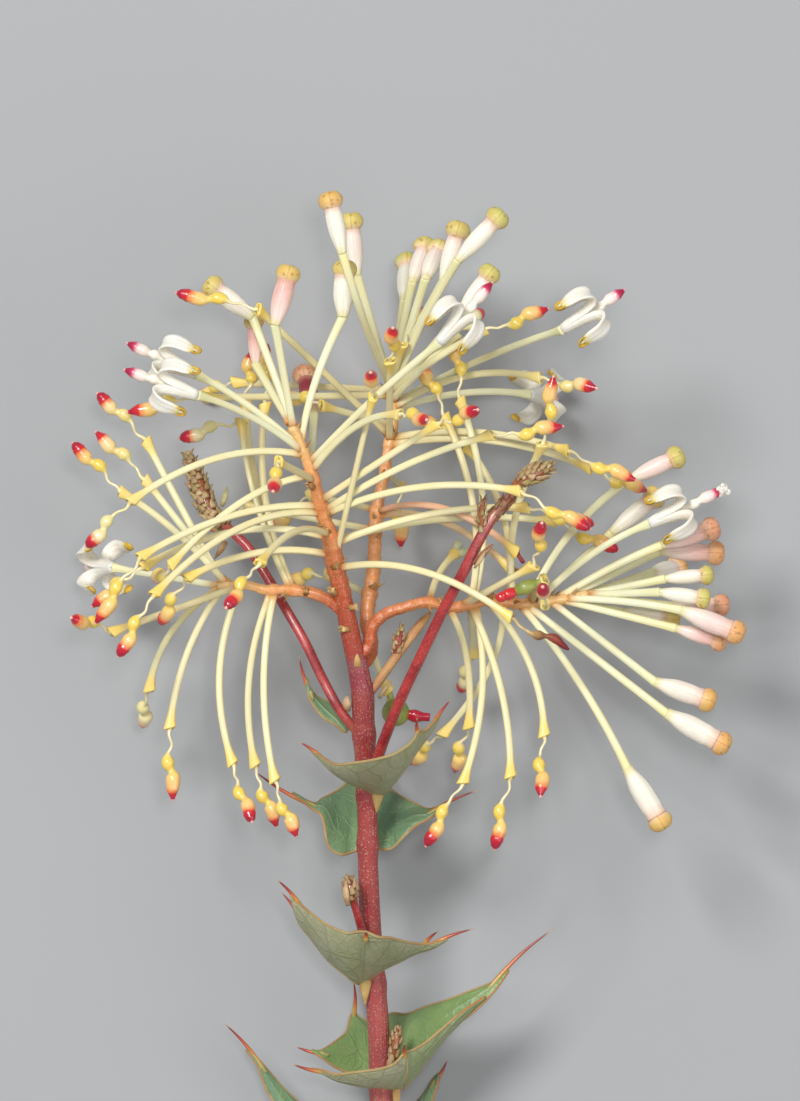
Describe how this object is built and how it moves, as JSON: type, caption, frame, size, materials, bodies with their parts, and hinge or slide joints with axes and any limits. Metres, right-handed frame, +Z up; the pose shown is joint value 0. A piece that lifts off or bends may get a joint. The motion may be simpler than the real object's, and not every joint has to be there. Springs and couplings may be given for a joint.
{
  "type": "grevillea flower",
  "caption": "Cut grevillea flower head lying down: crimson stem with spiny clasping leaves and umbel-like racemes of pistils, buds and open flowers.",
  "frame": {"origin": "on the surface under the middle of the flower head's bounding box", "axes": "+Y along the stem from its cut end to the flowers, +X to the right in the picture's view, +Z up from the surface"},
  "size_m": [0.0676, 0.1002, 0.0437],
  "materials": {
    "stem": "living crimson bark, satin with pale dots",
    "flowers": "waxy ivory, yellow and red flower parts",
    "leaves": "stiff grey-green blade with fine veins and orange margins"
  },
  "bodies": {
    "root": {"stem": "stem", "raceme_front": "flowers", "raceme_back": "flowers", "raceme_left": "flowers", "raceme_right": "flowers", "leaf_a": "leaves", "leaf_b": "leaves", "leaf_c": "leaves", "leaf_d": "leaves", "leaf_e": "leaves", "leaf_f": "leaves"}
  },
  "joints": []
}
